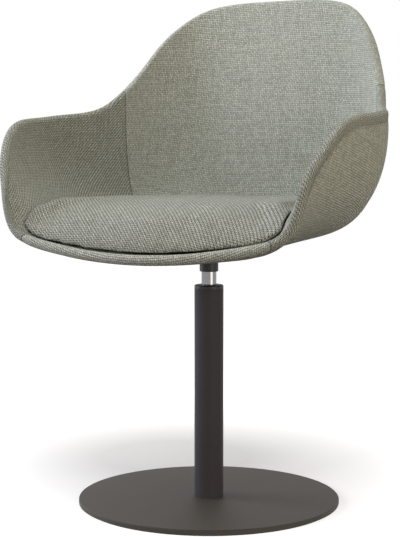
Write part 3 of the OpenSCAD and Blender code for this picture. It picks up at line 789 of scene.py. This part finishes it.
def draw_to_seam(piece, seam, reach):
    """Draws a filled form out to its sewn edge. Each point of the seam has a shortfall to the
    nearest point of the mesh, and the points around it take that shift, less with distance."""
    place = positions(piece.data) / MM
    apart = np.linalg.norm(place[None] - seam[:, None], axis=2)
    shortfall = seam - place[apart.argmin(1)]
    shift = shortfall[apart.argmin(0)] * bell(apart.min(0), reach)[:, None]
    piece.data.vertices.foreach_set("co", ((place + shift) * MM).ravel())
    piece.data.update()
    print("the edge was short by up to, mm:", np.linalg.norm(shortfall, axis=1).max().round(2))


fill(cushion)
draw_to_seam(cushion, full_cushion[crown_rows + rolled_rows], seam_reach)
cushion.name = cushion.data.name = "filled_cushion"

# %% [markdown]
# The cushion's cloth is cut nearly straight and lies over the crown and down the rolled edge. Its
# threads are laid as a tape would reach from the crown towards a point: the plan distance, and what
# the tape gains where it runs down the edge.

# %% Threads of the cushion
cushion_turn, section_reach, section_power = 5, 235, 5.5
section_shares = np.linspace(0, 1, 400)
section_drop = crown_height * (1 - np.sqrt(1 - section_shares**section_power))
section = np.column_stack([section_reach * section_shares, section_drop])
tape_gain = travelled(section, 0) - section[:, 0]
cushion_place = positions(cushion.data) / MM
plan = cushion_place[:, :2] - middle_xy
reach = np.maximum(np.linalg.norm(plan, axis=1, keepdims=True), 1e-3)
gain = np.interp(crown_z - cushion_place[:, 2:], section[:, 1], tape_gain)
add_threads(cushion.data, turned(plan / reach * (reach + gain) * [-1, 1], cushion_turn))
add_value(cushion.data, "pull", 1)
cushion.data.shade_smooth()
rounding = cushion.modifiers.new("rounding", "SUBSURF")
rounding.levels = rounding.render_levels = 1
print("cushion points:", len(cushion.data.vertices))

# %% [markdown]
# ## Stitches
# A twin-needle machine leaves a row of stitches on each side of the outer seam. Each stitch is a
# small tube bent along the cloth, thick in the middle and tucked in at both ends.

# %% Rows of stitches
stitch_pitch, stitch_length, thread_radius = 5.0, 3.6, 0.42
stitch_ring, stitch_sections, stitch_rise = 6, 5, 0.35


def stitch_row(name, offset):
    """Stitches along the outer seam from lip to lip, at an offset below it in mm. Along a stitch
    the radius follows half a sine wave, and so does its height above the cloth."""
    fine = np.linspace(-lip_seam, lip_seam, 2000)

    def on_cloth(columns, height):
        depth = outer_seam_depth(columns) + offset
        share = outer_seam_share(columns) * depth / outer_seam_depth(columns)
        bed = cover_out + swell * 0.25 - channel_depth * seam_mark(columns)
        return layer(columns, share, 0, bed + height)

    line = on_cloth(fine, 0)
    gone = np.concatenate([[0], np.cumsum(np.linalg.norm(np.diff(line, axis=0), axis=1))])
    count = int(gone[-1] / stitch_pitch)
    starts = (np.arange(count) + 0.2) * stitch_pitch
    along = np.linspace(0, 1, stitch_sections)
    wave = np.sin(np.pi * along)
    columns = np.interp(starts[:, None] + along * stitch_length, gone, fine)
    centre = on_cloth(columns, stitch_rise * wave)
    heading = np.gradient(centre, axis=1)
    heading /= np.linalg.norm(heading, axis=-1, keepdims=True)
    _, normal, _ = middle_surface(columns, outer_seam_share(columns))
    side = np.cross(heading, normal)
    around = 2 * np.pi * np.arange(stitch_ring) / stitch_ring
    radius = thread_radius * np.sqrt(0.15 + 0.85 * wave)
    ring = np.cos(around)[:, None] * side[:, :, None] + np.sin(around)[:, None] * normal[:, :, None]
    points = centre[:, :, None] + radius[None, :, None, None] * ring
    each = stitch_sections * stitch_ring
    shift = each * np.arange(count)[:, None, None]
    quads = (grid_faces(stitch_sections, stitch_ring, closed=True) + shift).reshape(-1, 4)
    fan = np.array([[0, k + 1, k] for k in range(1, stitch_ring - 1)])
    far = fan[:, ::-1] + each - stitch_ring
    triangles = (np.concatenate([fan, far]) + shift).reshape(-1, 3)
    return make_piece(name, points.reshape(-1, 3), quads, triangles)


stitches = [
    stitch_row("stitches_above_seam", -stitch_line), stitch_row("stitches_below_seam", stitch_line)]

# %% [markdown]
# ## Finishes
# ### Woven wool blend
# The cloth is a basket weave of thick, mottled yarns, grey-green. Real ones lie 2 to 3 mm apart,
# finer than a pixel, so they are drawn 3.4 mm apart to show. A checker decides which of two
# crossing yarns lies on top, and each yarn is round across and dips a little where it goes under
# its neighbour. From a distance the eye sees such a weave as slanting lines, and more so where the
# cloth is pulled slantwise, so every second diagonal of crossings lies lower by a panel's pull.
# Where the weave is low, on the yarns' sides and between them, the colour falls to olive: painted
# shade, whose depth the same number sets per panel, to stand for how the light falls on it. The
# tone drifts slowly along the yarns and jumps at each crossing, which gives the slubs of such
# cloth. Wool scatters light at its edges, and the sheen stands for that. At a seam the colour is
# darkened as
# well: painted shade where the cloth turns down.

# %% Woven cloth
yarn_pitch, wander_by, under_level, dip_level = 0.0034, 0.003, 0.35, 0.62
cloth, tree = new_material("woven wool blend")
laid = add(tree, "UVMap", uv_map="threads").outputs[0]
wander = noise(tree, laid, 40.0, 2.0).outputs["Color"]
laid_loosely = add(tree, "VectorMath", {
    0: wander, 1: (wander_by, wander_by, 0), 2: laid}, operation="MULTIPLY_ADD")
per_metre = 1 / yarn_pitch
yarns = add(tree, "Mapping", {
    "Vector": laid_loosely, "Location": (50, 50, 0.5), "Scale": (per_metre, per_metre, 1)})
on_top = add(tree, "TexChecker", {"Vector": yarns, "Scale": 1.0}).outputs["Fac"]
along = add(tree, "SeparateXYZ", {0: yarns}).outputs
rounds = []
for axis in (0, 1):
    doubled = maths(tree, "MULTIPLY", maths(tree, "PINGPONG", along[axis], 0.5), 2.0)
    rounds.append(maths(tree, "MULTIPLY", doubled, maths(tree, "SUBTRACT", 2.0, doubled)))
heights = []
for own, other, over, under in ((0, 1, 1.0, under_level), (1, 0, under_level, 1.0)):
    dip, level = remap(tree, rounds[other], dip_level, 1.0), remap(tree, on_top, under, over)
    heights.append(maths(tree, "MULTIPLY", maths(tree, "MULTIPLY", dip, level), rounds[own]))
crossings = maths(tree, "MAXIMUM", *heights)
diagonal = maths(tree, "PINGPONG", maths(tree, "SUBTRACT", along[0], along[1]), 1.0)
pull = add(tree, "Attribute", attribute_name="pull").outputs["Fac"]
raised = remap(tree, diagonal, remap(tree, pull, 0.85, 0.3), 1.0)
weave = maths(tree, "MULTIPLY", crossings, raised)
crossing_number = add(tree, "VectorMath", {0: yarns}, operation="FLOOR")
mottle = add(tree, "TexWhiteNoise", {"Vector": crossing_number}, noise_dimensions="2D")
tones = []
for stretch in ((240, 9, 1), (9, 240, 1)):
    strands = add(tree, "Mapping", {"Vector": laid, "Scale": stretch})
    tones.append(noise(tree, strands, 1.0, 3.0))
strand = add(tree, "Mix", {0: on_top, 2: tones[1], 3: tones[0]})
tone = add(tree, "Mix", {0: 0.3, 2: strand, 3: mottle})
yarn_colour = add(tree, "ValToRGB", {0: tone})
for stop, place, hex_colour in ((0, 0.2, "#B2B7AD"), (1, 0.8, "#F6FBF2")):
    yarn_colour.color_ramp.elements[stop].position = place
    yarn_colour.color_ramp.elements[stop].color = linear(hex_colour)
# Painted shade: where the weave is low the colour falls to olive, and the panel's number sets how
# deep.
gap_share, full_from = remap(tree, pull, 0.45, 0.0), remap(tree, pull, 0.8, 0.55)
shown = remap(tree, weave, gap_share, 1.0, 0.15, full_from)
cloth_colour = blend(tree, shown, "#48473A", yarn_colour)
# Painted shade: the colour darkens towards the seams.
at_seam = add(tree, "Attribute", attribute_name="seam_shade").outputs["Fac"]
cloth_colour = blend(tree, maths(tree, "MULTIPLY", at_seam, 0.8), cloth_colour, "#3A392F")
fuzzy = maths(tree, "MULTIPLY_ADD", noise(tree, laid, 900.0, 2.0), 0.25, weave)
finish_surface(tree, {
    "Base Color": cloth_colour, "Roughness": 0.9, "Sheen Weight": 0.25, "Sheen Roughness": 0.45,
    "Sheen Tint": linear("#E6E8DF"), "Normal": bumps(tree, fuzzy, 1.0, 0.002)})

# %% [markdown]
# ### Foam, thread and felt
# Moulded polyurethane foam is pale yellow and shows its small cells as fine pits. Sewing thread is
# polyester, a little shinier than wool. The felt under the disc is pressed wool, nearly black. The
# fastening strips are black nylon.

# %% Foam, thread, felt and fastening strips
def speckled(name, dark, light, scale, roughness, depth, sheen=0.0):
    """A rough material whose colour and height follow one noise of a given scale per metre."""
    material, tree = new_material(name)
    grain = noise(tree, object_place(tree), scale, 4.0, Roughness=0.6)
    finish_surface(tree, {
        "Base Color": blend(tree, remap(tree, grain, 0.0, 1.0, 0.35, 0.65), dark, light),
        "Roughness": roughness, "Sheen Weight": sheen, "Normal": bumps(tree, grain, 0.5, depth)})
    return material


foam = speckled("polyurethane foam", "#CFC38F", "#E6DDB4", 700.0, 0.95, 0.0006)
thread = speckled("polyester sewing thread", "#7C7D70", "#9A9B8E", 1500.0, 0.6, 0.0001)
felt = speckled("pressed wool felt", "#232323", "#3B3A38", 1200.0, 1.0, 0.0005, 0.2)
strip_nylon = speckled("hook and loop nylon", "#151515", "#2A2A2A", 900.0, 0.85, 0.0008, 0.2)

# %% [markdown]
# ### Powder coat and moulded plastic
# The disc and the column are steel with a powder coat, which flows out into a fine orange peel.
# The disc's coat is a warm dark grey and nearly dull. The column's is anthracite, smooth and with
# little shine, so its edges stay dark against the white. The cap and the hub are moulded ABS with
# a satin skin. Real peel is about 0.5 mm wide and is drawn at 1 mm.

# %% Coatings and plastics
def coated(name, dark, light, roughness, shine, peel, depth):
    """A coat with a faint drift of colour over some 60 mm. Its relief is a peel of given width in
    metres, which varies the roughness a little. The shine scales how much it mirrors, and is 0.5
    for common plastic."""
    material, tree = new_material(name)
    drift = noise(tree, object_place(tree), 16.0, 2.0)
    skin = noise(tree, object_place(tree), 1 / peel, 2.0)
    finish_surface(tree, {
        "Base Color": blend(tree, drift, dark, light), "Specular IOR Level": shine,
        "Roughness": remap(tree, skin, roughness - 0.06, roughness + 0.06),
        "Normal": bumps(tree, skin, 0.35, depth)})
    return material


disc_coat = coated("matt powder-coated steel", "#3E3A33", "#44403A", 0.62, 0.35, 0.001, 0.0001)
column_coat = coated("satin powder-coated steel", "#464347", "#4C494D", 0.5, 0.06, 0.001, 0.00002)
abs_plastic = coated("moulded ABS", "#1F1E20", "#252426", 0.45, 0.3, 0.0008, 0.00006)

# %% [markdown]
# ### Bare metals
# The spindle is ground steel with hard chrome, which mirrors its surroundings with a trace of the
# grinding round it. Plate and fasteners inside are zinc-plated steel, and the cage and the nuts
# are brass. The marks of turning run round the column's axis, so the noise is stretched flat.

# %% Metals
def streaks(tree, stretch, detail, dark, light):
    """Noise that is stretched along some axes, and a colour between two that follows it."""
    stretched = add(tree, "Mapping", {"Vector": object_place(tree), "Scale": stretch})
    lines = noise(tree, stretched, 1.0, detail)
    return lines, blend(tree, lines, dark, light)


def metal(name, dark, light, roughness, marks):
    """A metal whose colour and gloss follow a noise that is stretched around the vertical axis."""
    material, tree = new_material(name)
    lines, colour = streaks(tree, (12, 12, marks), 3.0, dark, light)
    gloss = remap(tree, lines, roughness * 0.7, roughness * 1.3)
    finish_surface(tree, {"Base Color": colour, "Metallic": 1.0, "Roughness": gloss})
    return material


chrome = metal("ground and chromed steel", "#6A6B6E", "#949598", 0.14, 2500)
zinc = metal("zinc-plated steel", "#8E9193", "#B5B8BA", 0.38, 900)
brass = metal("turned brass", "#B08D45", "#CDAA62", 0.3, 1500)

# %% [markdown]
# ### Moulded shell
# The shell under the foam is pressed from layers of beech veneer. Its grain runs up the back in
# long narrow streaks, here about 2 mm apart and 150 mm long.

# %% Moulded beech ply
ply, tree = new_material("moulded beech plywood")
grain, wood_colour = streaks(tree, (450, 450, 7), 4.0, "#B58A5A", "#D9B98C")
finish_surface(tree, {
    "Base Color": wood_colour, "Roughness": 0.55, "Normal": bumps(tree, grain, 0.3, 0.0002)})

# %% [markdown]
# ## Dress the chair
# Each CAD piece takes its finish on the material slots that it already has. Each new piece rides
# on the seat's body and stands for the solid that it replaces.

# %% Finishes on the CAD pieces
for finish, names in (
        (felt, "floor_felt"), (disc_coat, "base_disc seat_plate"), (column_coat, "column_tube"),
        (abs_plastic, "column_cap seat_hub lower_guide_bush"),
        (chrome, "spindle lower_bearing_washer upper_bearing_washer bearing_balls"),
        (zinc, "column_foot_plug column_foot_screws bearing_seat retaining_ring seat_bolts"),
        (brass, "bearing_cage insert_nuts"), (ply, "shell_core"),
        (strip_nylon, "loop_strips hook_strips")):
    for name in names.split():
        for slot in nodes[name].material_slots:
            slot.material = finish
    print(finish.name, "on", names)

# %% Bodies and replaced solids
def seat_piece(piece, finish, slot, *solids):
    """Lets a piece with a finish ride on the seat, in place of CAD solids. The slot is not used."""
    piece.data.materials.clear()
    piece.data.materials.append(finish)
    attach(piece, "seat")
    if solids:
        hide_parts(*solids)


for name, piece in covers.items():
    solid = name.replace("cover", "band" if name == "front_lip_cover" else "panel")
    seat_piece(piece, cloth, "upholstery", solid)
seat_piece(lining_cover, cloth, "upholstery", "seat_lining")
seat_piece(foam_padding, foam, "foam", "shell_foam")
seat_piece(cushion, cloth, "upholstery", "seat_cushion")
for row in stitches:
    seat_piece(row, thread, "upholstery")

# %% [markdown]
# ## Soft pieces
# Each panel of the cover is a sheet that was cut flat and then stretched over the foam. Its flat
# size is the widest and longest way across the panel, less the two percent by which such cloth is
# stretched. Here only the areas of each panel's faces are read.

stretch = 1.02


def declare_sheet(piece):
    """Reads the areas of a cover's faces."""
    mesh = piece.data
    areas = np.empty(len(mesh.polygons))
    mesh.polygons.foreach_get("area", areas)


for name, piece in covers.items():
    declare_sheet(piece)
